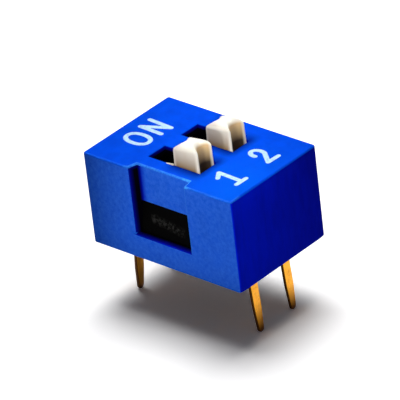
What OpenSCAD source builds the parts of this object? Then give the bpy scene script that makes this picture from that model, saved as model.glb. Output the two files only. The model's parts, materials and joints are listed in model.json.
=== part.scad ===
// Two-way slide DIP switch for a printed circuit board.
// X runs along the row of switches, from switch 1 to switch 2.
// Y runs across it, from the numbered side towards ON.
// Z is up, and the origin is at the centre of the seating plane on the board.
// All sizes are in millimetres. Both switches are drawn in the OFF position.

/* [Body] */
// Distance between neighbouring switches and between pins in a row
pitch = 2.54; // [2.3:0.01:5.08]
// From the centre line of an end switch to the end face
end_margin = 2.07; // [1.9:0.01:2.2]
// Distance between the two rows of pins
row_spacing = 7.62; // [7:0.01:10.16]
// From a row of pins to the long side face
pin_margin = 1.14; // [1.08:0.01:1.6]
// Height of the cover above the board
body_h = 5.3; // [5:0.1:8]
// Thickness of the top wall
top_t = 0.45; // [0.4:0.05:1]
// Thickness of the long side walls
side_wall_t = 0.85; // [0.5:0.05:0.9]
// Thickness of the end walls
end_wall_t = 1; // [0.9:0.05:1.1]
// Radius of the upright corner edges
edge_r = 0.15; // [0.02:0.01:0.5]
// Radius of the edges round the top face
top_r = 0.1; // [0.02:0.01:0.4]

/* [End recess and latch windows] */
// Width of the recess in the left-hand end face
recess_w = 3.72; // [2:0.02:5]
// Depth of the recess
recess_d = 0.57; // [0.3:0.01:0.7]
// How much each side of the recess closes in over its depth
recess_taper = 0.1; // [0:0.01:0.3]
// Radius of the recess edge on the ON side
recess_round = 0.25; // [0.05:0.01:0.5]
// Height of the window sill above the board
sill_h = 1.38; // [0.8:0.02:1.8]
// Height of the latch window in each end
window_h = 1.75; // [1:0.05:2.2]
// Thickness of the end wall below the window
sill_t = 0.6; // [0.4:0.02:0.75]
// From the end face back to the nose of the latch
barb_set = 0.32; // [0.1:0.01:0.4]
// Height of the upright nose of the latch
barb_land = 0.3; // [0.1:0.05:0.6]

/* [Base] */
// Gap between the board and the underside of the base
base_lift = 0.1; // [0:0.01:0.3]
// Height of the contact floor above the board
floor_z = 1.5; // [1.2:0.05:2]
// Height of the blocks that hold down the roots of the terminals
block_h = 0.9; // [0.3:0.05:2]

/* [Sliders] */
// Travel of a slider from OFF to ON
travel = 1.58; // [1.2:0.02:2.2]
// Width of the knob along the row
knob_w = 1.24; // [0.9:0.02:1.3]
// Length of the knob in the direction of travel
knob_l = 1.7; // [1.2:0.02:2.2]
// Height of the knob above the cover
knob_h = 1.35; // [0.5:0.05:2]
// Radius of the finger groove in each end of the knob
groove_r = 0.5; // [0.48:0.02:1]
// Depth of the finger groove
groove_d = 0.34; // [0.05:0.01:0.35]
// Radius of the upright corners of the knob
knob_corner_r = 0.08; // [0.01:0.01:0.1]
// Radius of the edges round the top of the knob
knob_top_r = 0.4; // [0.02:0.01:0.42]
// Height by which the top of the knob falls in half its length from the peak
knob_crown = 0.16; // [0.05:0.01:0.2]
// Distance of the peak from the middle of the knob, towards OFF
knob_peak = 0.3; // [0:0.05:0.4]
// How far the carriage reaches past each end of the knob
shoulder_l = 0.55; // [0.3:0.05:0.7]
// Room between the contact floor and the carriage
under_gap = 0.65; // [0.6:0.05:0.9]
// Depth of the pocket for the bridging contact
pocket_d = 1.05; // [0.6:0.05:1.4]
// Chamfer along the carriage's upper edges
carriage_chamfer = 0.2; // [0.05:0.05:0.3]

/* [Terminals] */
// Thickness of the terminal strip
strip_t = 0.2; // [0.15:0.01:0.3]
// Width of a pin
pin_w = 0.56; // [0.4:0.02:0.8]
// Length of the pins below the board surface
pin_len = 3.6; // [2.5:0.1:6]
// Outward lean of the pins, in degrees
splay = 4.5; // [0:0.5:8]
// Length over which a pin narrows towards its tip
taper_len = 1.4; // [0.5:0.1:2]
// Width of the pin at its tip
tip_w = 0.38; // [0.2:0.02:0.4]
// Inside radius of the bend between pin and pad
bend_r = 0.15; // [0.05:0.01:0.4]
// Width of the contact pads
pad_w = 0.9; // [0.85:0.05:1.2]
// Gap between the two pads of a switch
pad_gap = 0.65; // [0.3:0.05:0.9]

/* [Bridging contacts] */
// Thickness of the spring strip
clip_t = 0.12; // [0.06:0.01:0.16]
// Width of the spring strip
clip_w = 0.7; // [0.4:0.05:0.85]
// From the middle of a slider to each foot of its contact
foot_reach = 0.84; // [0.74:0.02:1]
// Radius of a foot, to the middle of the strip
foot_r = 0.22; // [0.15:0.01:0.3]
// Height of the upturned toe of a foot
toe_h = 0.1; // [0.05:0.01:0.15]
// Radius of the bends at the crown, to the middle of the strip
crown_r = 0.15; // [0.1:0.01:0.3]

/* [Clearances] */
// Between the base and the cavity of the cover
fit_clr = 0.04; // [0.01:0.01:0.06]
// Between a carriage and the rails of the base, on each side
guide_clr = 0.05; // [0.02:0.01:0.08]
// Between a carriage and the end wall of the cover
wall_clr = 0.12; // [0.08:0.01:0.16]
// Between a carriage and the underside of the top wall
roof_clr = 0.06; // [0.02:0.01:0.2]
// Between a knob and each side of its slot
slot_side_clr = 0.03; // [0.02:0.01:0.15]
// Between a knob and the end of its slot at each end of the travel
slot_end_clr = 0.1; // [0.04:0.01:0.2]
// Between the latch and the window sill
catch_clr = 0.03; // [0.01:0.01:0.1]
// Between the latch and each side of the window
latch_side_clr = 0.06; // [0.02:0.01:0.2]
// Between a carriage at the end of its travel and the root blocks
stop_clr = 0.25; // [0.05:0.05:0.4]
// Between a foot and its pad
wipe_clr = 0.02; // [0.01:0.01:0.05]
// Between a bridging contact and the walls of its pocket
clip_clr = 0.02; // [0.01:0.01:0.05]

/* [Hidden] */
$fn = 48;
// How far a cut runs past the face that it opens
over = 0.1;

// Numbers of the switches, and the number at the middle of the row
SWITCHES = [1, 2];
mid_number = (SWITCHES[0] + SWITCHES[len(SWITCHES) - 1]) / 2;

// Outer box and cavity of the cover
body_l = (len(SWITCHES) - 1) * pitch + 2 * end_margin;
body_w = row_spacing + 2 * pin_margin;
cavity_l = body_l - 2 * end_wall_t;
cavity_w = body_w - 2 * side_wall_t;
ceiling_z = body_h - top_t;
window_top = sill_h + window_h;
window_w = recess_w - 2 * recess_taper;

// Slot and carriage
slot_w = knob_w + 2 * slot_side_clr;
slot_l = knob_l + travel + 2 * slot_end_clr;
carriage_w = 2 * (end_margin - end_wall_t - wall_clr);
carriage_l = knob_l + 2 * shoulder_l;
carriage_z = floor_z + under_gap;
carriage_top = ceiling_z - roof_clr;
knob_top = body_h + knob_h;
ridge_r = pow(knob_l / 2, 2) / (2 * knob_crown);

// Base
base_l = cavity_l - 2 * fit_clr;
base_w = cavity_w - 2 * fit_clr;
rail_t = pitch - carriage_w - 2 * guide_clr;
tongue_w = window_w - 2 * latch_side_clr;
tongue_in = pitch / 2 + carriage_w / 2 + guide_clr;
tongue_out = body_l / 2 - sill_t - fit_clr;
tongue_top = window_top - fit_clr;
barb_z = sill_h + catch_clr;
block_y = travel / 2 + carriage_l / 2 + stop_clr;

// Bridging contact and the pads that it wipes
crown_z = carriage_z + pocket_d - clip_t / 2;
shank_y = foot_reach - foot_r;
foot_z = floor_z + wipe_clr + clip_t / 2 + foot_r;
pocket_l = 2 * shank_y + clip_t + 2 * clip_clr;
pocket_w = clip_w + 2 * clip_clr;

// ---- helpers -------------------------------------------------------------

// A profile in Y and Z, extruded along X about the middle
module along_x(length)
  rotate([90, 0, 90]) linear_extrude(length, center = true) children();

// A profile in X and Z, extruded along Y about the middle
module along_y(length)
  rotate([90, 0, 0]) linear_extrude(length, center = true) children();

// Rectangle about the origin with four round corners
module round_rect(l, w, r) {
  square([l - 2 * r, w], center = true);
  square([l, w - 2 * r], center = true);
  for (x = [-1, 1], y = [-1, 1])
    translate([x * (l / 2 - r), y * (w / 2 - r)]) circle(r);
}

// Upright rectangle from bottom to top whose two upper corners are round
module dome_rect(l, bottom, top, r) {
  translate([-l / 2, bottom]) square([l, top - bottom - r]);
  translate([r - l / 2, bottom]) square([l - 2 * r, top - bottom]);
  for (x = [-1, 1])
    translate([x * (l / 2 - r), top - r]) circle(r);
}

// One quarter of a flat strip bent round the origin, between the angles a and a + 90
module quarter_bend(mid_r, t, a)
  intersection() {
    difference() {
      circle(mid_r + t / 2);
      circle(mid_r - t / 2);
    }
    rotate(a) square(mid_r + t);
  }

module at_each_end()
  for (side = [0, 1]) mirror([side, 0, 0]) children();

// Places a piece at the switch with the given number
module at_switch(number)
  translate([(number - mid_number) * pitch, 0, 0]) children();

// ---- cover ---------------------------------------------------------------

module cover_block()
  intersection() {
    linear_extrude(body_h) round_rect(body_l, body_w, edge_r);
    along_y(body_w) dome_rect(body_l, 0, body_h, top_r);
    along_x(body_l) dome_rect(body_w, 0, body_h, top_r);
  }

// Plan of the recess as it would lie in the right-hand end face
module recess_plan() {
  face = body_l / 2;
  polygon([
    [face + over, -recess_w / 2], [face, -recess_w / 2],
    [face - recess_d, -window_w / 2], [face - recess_d, window_w / 2],
    [face, recess_w / 2], [face + over, recess_w / 2]
  ]);
  translate([face - recess_round, recess_w / 2 - over])
    difference() {
      square([recess_round + over, recess_round + over]);
      translate([0, recess_round + over]) circle(recess_round);
    }
}

// The recess runs from the window sill up through the top face
module left_recess()
  mirror([1, 0, 0]) translate([0, 0, sill_h])
    linear_extrude(body_h - sill_h + over) recess_plan();

module latch_window() {
  translate([cavity_l / 2 - over, -window_w / 2, sill_h])
    cube([end_wall_t + 2 * over, window_w, window_h]);
  // room for the tongue of the base behind the sill
  translate([cavity_l / 2 - over, -window_w / 2, -over])
    cube([end_wall_t - sill_t + over, window_w, sill_h + 2 * over]);
}

module cover()
  color([0.02, 0.29, 0.92])
  difference() {
    cover_block();
    translate([-cavity_l / 2, -cavity_w / 2, -over])
      cube([cavity_l, cavity_w, ceiling_z + over]);
    at_each_end() latch_window();
    left_recess();
    for (number = SWITCHES)
      at_switch(number)
        translate([-slot_w / 2, -slot_l / 2, ceiling_z - over])
          cube([slot_w, slot_l, top_t + 2 * over]);
  }

// ---- base ----------------------------------------------------------------

// End wall of the base with the latch that snaps over the window sill
module tongue()
  along_y(tongue_w)
    polygon([
      [base_l / 2 - over, base_lift], [tongue_out, base_lift],
      [tongue_out, barb_z], [body_l / 2 - barb_set, barb_z],
      [body_l / 2 - barb_set, barb_z + barb_land],
      [tongue_out, tongue_top], [tongue_in, tongue_top],
      [tongue_in, floor_z], [base_l / 2 - over, floor_z]
    ]);

module base()
  color([0.07, 0.07, 0.08])
  difference() {
    union() {
      translate([-base_l / 2, -base_w / 2, base_lift])
        cube([base_l, base_w, floor_z - base_lift]);
      at_each_end() tongue();
      // rail between the two carriages
      translate([-rail_t / 2, -base_w / 2, floor_z - over])
        cube([rail_t, base_w, carriage_top - floor_z + over]);
      // blocks over the roots of the terminals
      for (side = [0, 1])
        mirror([0, side, 0])
          translate([-base_l / 2, block_y, floor_z - over])
            cube([base_l, base_w / 2 - block_y, block_h + over]);
    }
    // the terminals are moulded in
    for (number = SWITCHES)
      at_switch(number) {
        numbered_side_terminal();
        on_side_terminal();
      }
  }

// ---- sliders -------------------------------------------------------------

module knob_plan()
  difference() {
    round_rect(knob_w, knob_l, knob_corner_r);
    for (end = [-1, 1])
      translate([0, end * (knob_l / 2 + groove_r - groove_d)]) circle(groove_r);
  }

// Side view of all that lies under the crown of the knob
module under_crown() {
  low = carriage_top - over;
  centre_z = knob_top - ridge_r;
  translate([-knob_peak, centre_z]) circle(ridge_r);
  if (centre_z > low)
    translate([-knob_peak - ridge_r, low]) square([2 * ridge_r, centre_z - low]);
}

module knob()
  intersection() {
    translate([0, 0, carriage_top - over])
      linear_extrude(knob_top - carriage_top + over) knob_plan();
    along_y(knob_l) dome_rect(knob_w, carriage_top - over, knob_top, knob_top_r);
    along_x(knob_w) dome_rect(knob_l, carriage_top - over, knob_top, knob_top_r);
    along_x(knob_w) under_crown();
  }

module carriage()
  difference() {
    along_x(carriage_w)
      polygon([
        [-carriage_l / 2, carriage_z], [carriage_l / 2, carriage_z],
        [carriage_l / 2, carriage_top - carriage_chamfer],
        [carriage_l / 2 - carriage_chamfer, carriage_top],
        [carriage_chamfer - carriage_l / 2, carriage_top],
        [-carriage_l / 2, carriage_top - carriage_chamfer]
      ]);
    // pocket for the bridging contact
    translate([-pocket_w / 2, -pocket_l / 2, carriage_z - over])
      cube([pocket_w, pocket_l, pocket_d + over]);
  }

// A slider in the middle of its travel
module slider() {
  knob();
  carriage();
}

// Moves a slider or its contact to the OFF end of the travel
module at_off()
  translate([0, -travel / 2, 0]) children();

module slider_1() color([0.96, 0.93, 0.86]) at_switch(1) at_off() slider();
module slider_2() color([0.96, 0.93, 0.86]) at_switch(2) at_off() slider();

// ---- bridging contacts ---------------------------------------------------

// One half of the bridge, from the crown over the shank to the upturned toe
module half_bridge() {
  translate([0, crown_z - clip_t / 2]) square([shank_y - crown_r, clip_t]);
  translate([shank_y - crown_r, crown_z - crown_r]) quarter_bend(crown_r, clip_t, 0);
  translate([shank_y - clip_t / 2, foot_z])
    square([clip_t, crown_z - crown_r - foot_z]);
  translate([foot_reach, foot_z]) {
    quarter_bend(foot_r, clip_t, 180);
    quarter_bend(foot_r, clip_t, 270);
    translate([foot_r - clip_t / 2, 0]) square([clip_t, toe_h]);
  }
}

module bridge()
  along_x(clip_w)
    for (side = [0, 1]) mirror([side, 0]) half_bridge();

module contact_1() color([0.93, 0.76, 0.42]) at_switch(1) at_off() bridge();
module contact_2() color([0.93, 0.76, 0.42]) at_switch(2) at_off() bridge();

// ---- terminals -----------------------------------------------------------

// Side view of a pin with its bend, standing in the row on the numbered side
module pin_side_view(row_y) {
  bend_z = floor_z - strip_t - bend_r;
  translate([row_y, 0]) {
    translate([-strip_t / 2, 0]) square([strip_t, bend_z]);
    circle(strip_t / 2);
    rotate(-splay) translate([-strip_t / 2, -pin_len - over])
      square([strip_t, pin_len + over]);
    translate([strip_t / 2 + bend_r, bend_z]) {
      quarter_bend(bend_r + strip_t / 2, strip_t, 90);
      translate([0, bend_r]) square([over, strip_t]);
    }
  }
}

// Front view of a pin: straight, then tapered, then round at the tip
module pin_front_view() {
  tip_r = tip_w / 2;
  translate([-pin_w / 2, taper_len - pin_len])
    square([pin_w, floor_z + pin_len - taper_len]);
  polygon([
    [-tip_r, tip_r - pin_len], [tip_r, tip_r - pin_len],
    [pin_w / 2, taper_len - pin_len], [-pin_w / 2, taper_len - pin_len]
  ]);
  translate([0, tip_r - pin_len]) circle(tip_r);
}

// A terminal whose pad runs from the row at -Y to pad_end
module terminal(pad_end) {
  row_y = -row_spacing / 2;
  root_y = row_y + strip_t / 2 + bend_r;
  intersection() {
    along_x(pin_w) pin_side_view(row_y);
    along_y(2 * body_w) pin_front_view();
  }
  translate([-pad_w / 2, root_y, floor_z - strip_t])
    cube([pad_w, pad_end - root_y, strip_t]);
}

// The gap between the pads lies midway along the travel of the leading foot
module numbered_side_terminal() terminal(foot_reach - pad_gap / 2);
module on_side_terminal()
  mirror([0, 1, 0]) terminal(-foot_reach - pad_gap / 2);

module terminal_1() color([0.86, 0.66, 0.3]) at_switch(1) numbered_side_terminal();
module terminal_2() color([0.86, 0.66, 0.3]) at_switch(2) numbered_side_terminal();
module terminal_3() color([0.86, 0.66, 0.3]) at_switch(2) on_side_terminal();
module terminal_4() color([0.86, 0.66, 0.3]) at_switch(1) on_side_terminal();

cover();
base();
slider_1();
slider_2();
contact_1();
contact_2();
terminal_1();
terminal_2();
terminal_3();
terminal_4();
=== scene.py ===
"""Two-way slide DIP switch: the looks of every piece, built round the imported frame.

X runs from switch 1 to switch 2, Y from the numbered side to ON, and Z up from the board.
Shapes are worked out in millimetres, and each finished mesh is written in metres.
"""

import json
import math
from types import SimpleNamespace

import bpy
import numpy as np
from bpy.props import FloatProperty, FloatVectorProperty, PointerProperty
from mathutils import Matrix, Vector

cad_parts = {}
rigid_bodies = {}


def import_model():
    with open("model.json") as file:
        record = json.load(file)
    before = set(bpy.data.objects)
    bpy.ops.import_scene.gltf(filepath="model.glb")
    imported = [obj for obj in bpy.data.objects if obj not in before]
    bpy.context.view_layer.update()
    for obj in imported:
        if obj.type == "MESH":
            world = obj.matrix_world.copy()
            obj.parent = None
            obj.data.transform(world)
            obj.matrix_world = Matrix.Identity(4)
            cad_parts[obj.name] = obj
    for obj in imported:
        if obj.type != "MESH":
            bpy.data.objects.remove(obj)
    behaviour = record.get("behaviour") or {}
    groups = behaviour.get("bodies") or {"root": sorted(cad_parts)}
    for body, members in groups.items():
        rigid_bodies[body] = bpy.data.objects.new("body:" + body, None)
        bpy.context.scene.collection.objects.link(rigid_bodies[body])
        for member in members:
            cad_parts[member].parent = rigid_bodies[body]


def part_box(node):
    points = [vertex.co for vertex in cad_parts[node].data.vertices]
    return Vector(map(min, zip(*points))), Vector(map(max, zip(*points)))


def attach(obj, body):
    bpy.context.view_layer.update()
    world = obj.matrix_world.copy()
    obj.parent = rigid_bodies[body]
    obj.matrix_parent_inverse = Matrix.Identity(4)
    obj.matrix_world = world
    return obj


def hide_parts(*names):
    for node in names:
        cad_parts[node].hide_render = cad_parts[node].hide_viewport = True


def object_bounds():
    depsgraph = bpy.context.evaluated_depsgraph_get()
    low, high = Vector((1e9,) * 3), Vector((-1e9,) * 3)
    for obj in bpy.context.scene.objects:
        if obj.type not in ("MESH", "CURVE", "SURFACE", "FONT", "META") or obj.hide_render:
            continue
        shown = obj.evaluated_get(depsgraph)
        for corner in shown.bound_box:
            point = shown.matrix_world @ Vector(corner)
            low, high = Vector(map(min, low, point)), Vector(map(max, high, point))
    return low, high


bl_info = {
    "name": "Slide DIP Switch",
    "version": (1, 0, 0),
    "blender": (4, 5, 0),
    "location": "View3D > Sidebar > Switch",
    "description": "Builds a two-way slide DIP switch: mouldings, contacts, legends and studio",
    "category": "Add Mesh",
}

for leftover in list(bpy.data.objects):
    bpy.data.objects.remove(leftover)
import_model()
CAD_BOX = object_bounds()

MM = 0.001  # metres in a millimetre
HOUSING = "housing"
SLIDERS = ("slider_1", "slider_2")
CONTACTS = ("contact_1", "contact_2")
SWITCHES = ("switch_1", "switch_2")


def box_mm(node):
    """Lowest and highest corner of a CAD node, in millimetres."""
    low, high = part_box(node)
    return np.array(low) / MM, np.array(high) / MM


def linear(code):
    """Linear colour of an sRGB hex code.

    Formula: (c + 0.055) / 1.055 to the power 2.4, or c / 12.92 where c is dark.
    """
    c = np.array([int(code[i:i + 2], 16) for i in (1, 3, 5)]) / 255
    return tuple(np.where(c > 0.04045, ((c + 0.055) / 1.055) ** 2.4, c / 12.92))


# ---- sizes and colours that a user may change -----------------------------------------------


def length(name, description, millimetres):
    """A length property whose default is given in millimetres."""
    return FloatProperty(name=name, description=description, default=millimetres * MM,
                         min=0, precision=5, unit="LENGTH")


def amount(name, description, value):
    """A plain number property."""
    return FloatProperty(name=name, description=description, default=value, precision=3)


def angle(name, description, degrees):
    """An angle property whose default is given in degrees."""
    return FloatProperty(name=name, description=description, default=math.radians(degrees),
                         unit="ROTATION")


def colour(name, description, code):
    """A colour property whose default is an sRGB hex code."""
    return FloatVectorProperty(name=name, description=description, default=linear(code),
                               subtype="COLOR", min=0, max=1)


class CoverSizes(bpy.types.PropertyGroup):
    """The blue cover."""

    slot_width: length("Slot width", "Width of a slot along the row", 1.3)
    slot_length: length("Slot length", "Length of a slot across the row", 3.48)
    top_wall: length("Top wall", "Thickness of the top wall", 0.45)
    side_wall: length("Side wall", "Thickness of the long side walls", 0.85)
    end_wall: length("End wall", "Thickness of the end walls", 1.0)
    sill_wall: length("Sill wall", "Thickness of the end wall under the window", 0.6)
    recess_width: length("Recess width", "Width of the recess in the left-hand end", 3.72)
    recess_depth: length("Recess depth", "Depth of the recess", 0.57)
    recess_taper: length("Recess taper", "How much each side of the recess closes in", 0.1)
    recess_round: length("Recess round", "Radius of the recess edge on the ON side", 0.25)
    sill_height: length("Sill height", "Height of the window sill above the board", 1.38)
    window_height: length("Window height", "Height of the latch window in each end", 1.75)
    upright_radius: length("Upright radius", "Radius of the upright corner edges", 0.15)
    top_radius: length("Top radius", "Radius of the edges round the top", 0.1)
    edge_radius: length("Edge radius", "Radius of the other moulded edges", 0.05)
    body_colour: colour("Blue", "Colour of the cover's plastic", "#004EE6")
    mottle_colour: colour("Mottled blue", "Colour of the duller patches", "#0045D8")
    # painted light: the colour of the top's near corner, painted lighter where the light falls
    bright_colour: colour("Bright blue", "Colour of the top at its rubbed corner", "#005CEC")
    # painted sheen and scuffing: the colour of the end faces' paler patches
    scuff_colour: colour("Scuffed blue", "Colour of the rubbed end faces", "#3374F4")
    # painted shade: the colours of the long sides, deeper and purer for the shade they stand in
    side_colour: colour("Deep blue", "Colour of the drawn walls and long sides", "#001EFC")
    side_shade: colour("Deepest blue", "Colour of their darker lines", "#000EC0")
    # painted shadow: the colour painted round the knobs' feet
    grime_colour: colour("Grime", "Colour of the grime round the knobs", "#00187A")
    # painted shade: the inner walls' navy rim and the black further in
    wall_colour: colour("Inner wall", "Colour of the slot and recess walls at their rim",
                        "#0010C8")
    dark_colour: colour("Inner dark", "Colour of the same walls further in", "#020108")
    throw_colour: colour("Thrown back", "Colour of the light that the cover throws back",
                         "#2A2430")
    # painted highlight: the colour of the pale line along the left-hand end's edges
    edge_colour: colour("Edge blue", "Colour of the worn edges", "#4CAEFF")


class BaseSizes(bpy.types.PropertyGroup):
    """The black base with its two latches."""

    floor_height: length("Floor height", "Height of the contact floor above the board", 1.5)
    block_height: length("Block height", "Height of the blocks over the terminals' roots", 0.9)
    nose_set: length("Nose set", "From the cover's end face back to the latch nose", 0.32)
    nose_land: length("Nose land", "Height of the upright part of the latch nose", 0.3)
    side_gap: length("Side gap", "Gap between the latch and each side of the window", 0.06)
    fit_gap: length("Fit gap", "Gap between the base and the cover", 0.04)
    edge_radius: length("Edge radius", "Radius of the moulded edges", 0.04)
    body_colour: colour("Black", "Colour of the base's plastic", "#020202")
    scrape_colour: colour("Scrape", "Colour of the scraped patch on the latch", "#3A3A38")


class SliderSizes(bpy.types.PropertyGroup):
    """The two cream sliders."""

    knob_width: length("Knob width", "Width of a knob along the row", 1.24)
    knob_length: length("Knob length", "Length of a knob in its direction of travel", 1.7)
    groove_radius: length("Groove radius", "Radius of the finger groove in each end", 0.5)
    groove_depth: length("Groove depth", "Depth of the finger groove", 0.34)
    corner_radius: length("Corner radius", "Radius of the upright corners", 0.1)
    lip_radius: length("Lip radius", "Radius where a groove meets the end face", 0.05)
    top_radius: length("Top radius", "Radius of the edges along the knob's top", 0.32)
    rim_radius: length("Rim radius", "Radius of the edge between top and groove", 0.27)
    crown: length("Crown", "How much the top falls in half a length from its peak", 0.165)
    peak: length("Peak", "From the middle of a knob to its peak, towards OFF", 0.3)
    draft: length("Draft", "How much each side of the knob leans in up to its top", 0.03)
    chamfer: length("Carriage chamfer", "Chamfer along the carriage's upper edges", 0.2)
    pocket_depth: length("Pocket depth", "Depth of the pocket for the contact", 1.05)
    edge_radius: length("Edge radius", "Radius of the carriage's edges", 0.04)
    body_colour: colour("Cream", "Colour of the sliders' plastic", "#FFFBF0")
    shade_colour: colour("Deeper cream", "Colour of the warmer patches", "#F8EEDC")
    # painted shade and dirt: the colours painted round the knobs' feet and down their finger
    # grooves
    foot_colour: colour("Foot", "Colour round the foot of a knob", "#9A805E")
    groove_colour: colour("Groove", "Colour at the top of a finger groove", "#E4C28C")
    grime_colour: colour("Grime", "Colour at the foot of a finger groove", "#2C2014")


class TerminalSizes(bpy.types.PropertyGroup):
    """The four pins with their contact pads."""

    row_spacing: length("Row spacing", "Distance between the two rows of pins", 7.62)
    strip: length("Strip", "Thickness of the strip", 0.2)
    pin_width: length("Pin width", "Width of a pin", 0.56)
    tip_width: length("Tip width", "Width of a pin at its tip", 0.38)
    taper_length: length("Taper length", "Length over which a pin narrows", 1.4)
    splay: angle("Splay", "Outward lean of the pins", 4.5)
    bend_radius: length("Bend radius", "Inside radius of the bend into the base", 0.15)
    pad_width: length("Pad width", "Width of a contact pad", 0.9)
    edge_radius: length("Edge radius", "Radius of the stamped edges", 0.045)
    gold_colour: colour("Gold", "Colour of the gold plating", "#F8AC38")
    worn_colour: colour("Worn gold", "Colour where the plating is thin", "#583208")
    bare_colour: colour("Bare edge", "Colour of the tarnished sheared edges", "#2E1A08")


class ContactSizes(bpy.types.PropertyGroup):
    """The two bridging contacts."""

    strip: length("Strip", "Thickness of the spring strip", 0.12)
    foot_reach: length("Foot reach", "From the middle of a slider to each foot", 0.84)
    foot_radius: length("Foot radius", "Radius of a foot, to the middle of the strip", 0.22)
    toe_height: length("Toe height", "Height of the upturned toe", 0.1)
    crown_radius: length("Crown radius", "Radius of the bends at the crown", 0.15)


class LegendSizes(bpy.types.PropertyGroup):
    """ON, 1 and 2 printed on the cover."""

    stroke: length("Stroke", "Width of a printed stroke", 0.25)
    ink: length("Ink", "Height of the ink above the plastic", 0.012)
    ink_colour: colour("Ink", "Colour of the ink", "#C4E4F6")
    thin_colour: colour("Thin ink", "Colour where the blue shows through the ink", "#8FC0EE")


class StudioSettings(bpy.types.PropertyGroup):
    """Floor, lamps and camera."""

    azimuth: angle("Azimuth", "How far the view is turned from +Y towards +X", 45.86)
    elevation: angle("Elevation", "Height of the camera above the horizon", 29.98)
    roll: angle("Roll", "Lean of the camera to the right", 6.83)
    distance: length("Distance", "From the camera to the point it looks at", 270)
    lens: amount("Lens", "Focal length in millimetres on a 36 mm sensor", 476)
    aim: FloatVectorProperty(name="Aim", description="The point that the camera looks at",
                             default=(0.000546, 0.000865, 0.001723), precision=6,
                             subtype="TRANSLATION", unit="LENGTH")
    key_level: amount("Key", "Share of plain white light that the overhead lamp gives", 0.95)
    side_level: amount("Side", "Share of plain white light that the left lamp would give "
                       "without its grid, which makes it some forty times brighter", 0.012)
    knob_level: amount("Knobs", "The same for the small lamp on the knobs", 0.0019)
    sky_level: amount("Sky", "Share of plain white light that the sky gives", 0.1)
    floor_gain: amount("Floor gain", "How much brighter the camera sees the floor than a plain "
                       "white one, so that it stays white round the shadow", 1.45)
    floor_colour: colour("Floor", "Colour of the floor as the camera sees it", "#FFFFFF")
    bounce_colour: colour("Bounce", "Colour of the light that the floor throws back", "#626262")
    sky_colour: colour("Sky", "Tint of the light that the sky gives", "#F8F4FF")


GROUPS = {
    "cover_sizes": CoverSizes,
    "base_sizes": BaseSizes,
    "slider_sizes": SliderSizes,
    "terminal_sizes": TerminalSizes,
    "contact_sizes": ContactSizes,
    "legend_sizes": LegendSizes,
    "studio_settings": StudioSettings,
}


def settings(context, group):
    """A group's values by name, with its lengths turned into millimetres."""
    owner = getattr(context.scene, group)

    def value(prop):
        found = getattr(owner, prop.identifier)
        if getattr(prop, "is_array", False):
            found = np.array(found)
        return found / MM if getattr(prop, "unit", "") == "LENGTH" else found

    kept = [p for p in owner.bl_rna.properties if p.type == "FLOAT"]
    return SimpleNamespace(**{p.identifier: value(p) for p in kept})


# ---- shapes, in millimetres -----------------------------------------------------------------


def rounded_outline(corners, radii, steps=6):
    """Closed outline, anticlockwise, with an arc in place of each corner.

    Formula: an arc's centre lies on the corner's bisector, at radius / cos(turn / 2) from the
    corner, and its points stand at equal angles through the turn.
    """
    corner = np.asarray(corners, float)
    into = corner - np.roll(corner, 1, axis=0)
    out = np.roll(corner, -1, axis=0) - corner
    into /= np.linalg.norm(into, axis=1, keepdims=True)
    out /= np.linalg.norm(out, axis=1, keepdims=True)
    turn = np.arctan2(into[:, 0] * out[:, 1] - into[:, 1] * out[:, 0], (into * out).sum(1))
    side = np.sign(turn)
    radius = np.broadcast_to(np.asarray(radii, float), side.shape)
    bisector = (out - into) / np.linalg.norm(out - into, axis=1, keepdims=True)
    centre = corner + bisector * (radius / np.cos(turn / 2))[:, None]
    start = np.arctan2(-side * into[:, 0], side * into[:, 1])
    swept = start[:, None] + turn[:, None] * np.linspace(0, 1, steps + 1)
    rays = np.stack([np.cos(swept), np.sin(swept)], -1)
    return (centre[:, None] + rays * radius[:, None, None]).reshape(-1, 2)


def rectangle(x0, x1, y0, y1):
    """The four corners of a rectangle, anticlockwise."""
    return np.array([[x0, y0], [x1, y0], [x1, y1], [x0, y1]], float)


def lofted(rings, closed=False):
    """Mesh data through equal rings of points, with flat ends or joined end to end.

    Formula: cell (i, j) has points j and j + 1 of ring i and the same two of ring i + 1. With
    anticlockwise rings stacked upwards, the faces point outwards.
    """
    rings = np.asarray(rings, float)
    count, size = rings.shape[:2]
    i = np.arange(count if closed else count - 1)[:, None]
    j = np.arange(size)[None, :]
    near, far = i * size, (i + 1) % count * size
    step = (j + 1) % size
    cells = np.stack([near + j, near + step, far + step, far + j], -1).reshape(-1, 4).tolist()
    if not closed:
        cells += [list(range(size))[::-1], list(range((count - 1) * size, count * size))]
    return rings.reshape(-1, 3), cells


def prism(outline, low, high, axis="z"):
    """Mesh data of a flat outline carried straight along an axis from low to high.

    An outline for z is in (x, y), for y in (z, x), and for x in (y, z), so that each one turns
    anticlockwise seen from the far end of its axis.
    """
    order = {"z": (0, 1, 2), "x": (2, 0, 1), "y": (1, 2, 0)}[axis]
    outline = np.asarray(outline, float)
    level = np.array([low, high], float)[:, None, None]
    flat = np.broadcast_to(outline, (2, *outline.shape))
    rings = np.concatenate([flat, np.broadcast_to(level, (2, len(outline), 1))], -1)
    return lofted(rings[:, :, list(order)])


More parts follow.
